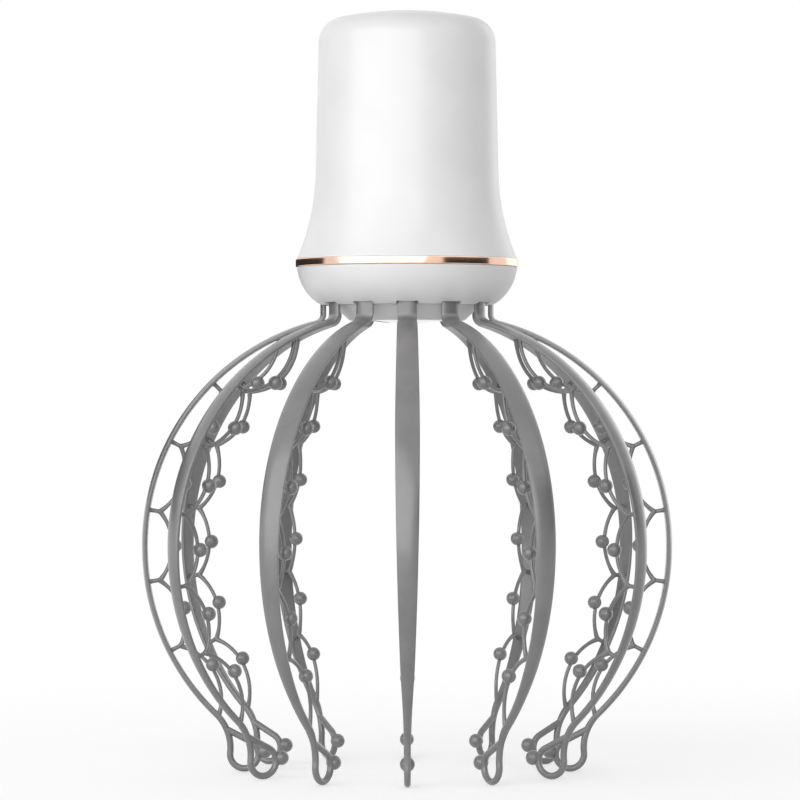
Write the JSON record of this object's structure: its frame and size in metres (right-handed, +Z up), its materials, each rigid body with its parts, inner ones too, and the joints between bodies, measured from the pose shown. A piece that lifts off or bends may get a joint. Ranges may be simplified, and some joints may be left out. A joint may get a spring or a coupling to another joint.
{
  "type": "electric scalp massager",
  "caption": "Hand-held vibrating scalp massager: a bottle-shaped white grip above a ring of springy curved grey claws with small massage balls, made to be set over the head.",
  "frame": {"origin": "on the plane of the claw tips, under the middle of the body", "axes": "+Z up along the body's axis, -Y the way the camera looks from, with one claw pointing along it, and +Y the rear with the charging socket"},
  "size_m": [0.1798, 0.1798, 0.2575],
  "materials": {
    "white_gloss": "gloss",
    "rose_gold": "polished, rose-gold tone",
    "white_satin": "satin",
    "pale_grey": "satin",
    "polished_steel": "mirror",
    "screw_steel": "satin",
    "inner_grey": "matt",
    "motor_steel": "satin",
    "magnet_dark": "matt",
    "winding_copper": "enamelled wire",
    "bush_brass": "satin",
    "sleeve_rubber": "matt",
    "cell_blue": "satin, wrapped",
    "contact_steel": "satin",
    "board_green": "satin",
    "chip_black": "matt",
    "led_white": "matt",
    "lens_clear": "clear",
    "button_grey": "gloss",
    "claw_grey": "satin"
  },
  "bodies": {
    "housing": {"upper_housing": "white_gloss", "trim_ring": "rose_gold", "lower_housing": "white_satin", "base_cap": "pale_grey", "contact_plate": "polished_steel", "plate_nut": "screw_steel", "claw_clamp_ring": "inner_grey", "clamp_screws": "screw_steel", "base_screws": "screw_steel", "inner_frame": "inner_grey", "frame_screws": "screw_steel", "motor_can": "motor_steel", "motor_end_cap": "chip_black", "motor_magnets": "magnet_dark", "motor_bush": "bush_brass", "motor_sleeve": "sleeve_rubber", "battery_cell": "cell_blue", "battery_contacts": "contact_steel", "control_board": "board_green", "board_parts": "chip_black", "board_screws": "screw_steel", "charging_socket": "contact_steel", "indicator_led": "led_white", "indicator_lens": "lens_clear", "switch_board": "board_green", "switch_board_screws": "screw_steel", "tact_switch": "chip_black"},
    "button": {"power_button": "button_grey", "switch_plunger": "chip_black"},
    "rotor": {"motor_shaft": "motor_steel", "motor_armature": "winding_copper", "eccentric_weight": "bush_brass"},
    "claw_01": {"claw_01": "claw_grey"},
    "claw_02": {"claw_02": "claw_grey"},
    "claw_03": {"claw_03": "claw_grey"},
    "claw_04": {"claw_04": "claw_grey"},
    "claw_05": {"claw_05": "claw_grey"},
    "claw_06": {"claw_06": "claw_grey"},
    "claw_07": {"claw_07": "claw_grey"},
    "claw_08": {"claw_08": "claw_grey"},
    "claw_09": {"claw_09": "claw_grey"},
    "claw_10": {"claw_10": "claw_grey"},
    "claw_11": {"claw_11": "claw_grey"},
    "claw_12": {"claw_12": "claw_grey"}
  },
  "joints": [
    {"name": "button_press", "type": "slide", "parent": "housing", "child": "button", "axis": [0, 0, -1], "range_m": [0, 0.0008], "stiffness_N_per_m": 1500, "springref_m": -0.0004},
    {"name": "rotor_spin", "type": "hinge", "parent": "housing", "child": "rotor", "pos_m": [0, 0, 0.18], "axis": [0, 0, 1], "continuous": true},
    {"name": "claw_01_swing", "type": "hinge", "parent": "housing", "child": "claw_01", "pos_m": [0, -0.0284, 0.16105], "axis": [-1, 0, 0], "range_deg": [-4, 15], "stiffness_Nm_per_rad": 0.8},
    {"name": "claw_02_swing", "type": "hinge", "parent": "housing", "child": "claw_02", "pos_m": [0.0142, -0.02459, 0.16105], "axis": [-0.866, -0.5, 0], "range_deg": [-4, 15], "stiffness_Nm_per_rad": 0.8},
    {"name": "claw_03_swing", "type": "hinge", "parent": "housing", "child": "claw_03", "pos_m": [0.02459, -0.0142, 0.16105], "axis": [-0.5, -0.866, 0], "range_deg": [-4, 15], "stiffness_Nm_per_rad": 0.8},
    {"name": "claw_04_swing", "type": "hinge", "parent": "housing", "child": "claw_04", "pos_m": [0.0284, 0, 0.16105], "axis": [0, -1, 0], "range_deg": [-4, 15], "stiffness_Nm_per_rad": 0.8},
    {"name": "claw_05_swing", "type": "hinge", "parent": "housing", "child": "claw_05", "pos_m": [0.02459, 0.0142, 0.16105], "axis": [0.5, -0.866, 0], "range_deg": [-4, 15], "stiffness_Nm_per_rad": 0.8},
    {"name": "claw_06_swing", "type": "hinge", "parent": "housing", "child": "claw_06", "pos_m": [0.0142, 0.02459, 0.16105], "axis": [0.866, -0.5, 0], "range_deg": [-4, 15], "stiffness_Nm_per_rad": 0.8},
    {"name": "claw_07_swing", "type": "hinge", "parent": "housing", "child": "claw_07", "pos_m": [0, 0.0284, 0.16105], "axis": [1, 0, 0], "range_deg": [-4, 15], "stiffness_Nm_per_rad": 0.8},
    {"name": "claw_08_swing", "type": "hinge", "parent": "housing", "child": "claw_08", "pos_m": [-0.0142, 0.02459, 0.16105], "axis": [0.866, 0.5, 0], "range_deg": [-4, 15], "stiffness_Nm_per_rad": 0.8},
    {"name": "claw_09_swing", "type": "hinge", "parent": "housing", "child": "claw_09", "pos_m": [-0.02459, 0.0142, 0.16105], "axis": [0.5, 0.866, 0], "range_deg": [-4, 15], "stiffness_Nm_per_rad": 0.8},
    {"name": "claw_10_swing", "type": "hinge", "parent": "housing", "child": "claw_10", "pos_m": [-0.0284, 0, 0.16105], "axis": [0, 1, 0], "range_deg": [-4, 15], "stiffness_Nm_per_rad": 0.8},
    {"name": "claw_11_swing", "type": "hinge", "parent": "housing", "child": "claw_11", "pos_m": [-0.02459, -0.0142, 0.16105], "axis": [-0.5, 0.866, 0], "range_deg": [-4, 15], "stiffness_Nm_per_rad": 0.8},
    {"name": "claw_12_swing", "type": "hinge", "parent": "housing", "child": "claw_12", "pos_m": [-0.0142, -0.02459, 0.16105], "axis": [-0.866, 0.5, 0], "range_deg": [-4, 15], "stiffness_Nm_per_rad": 0.8}
  ]
}
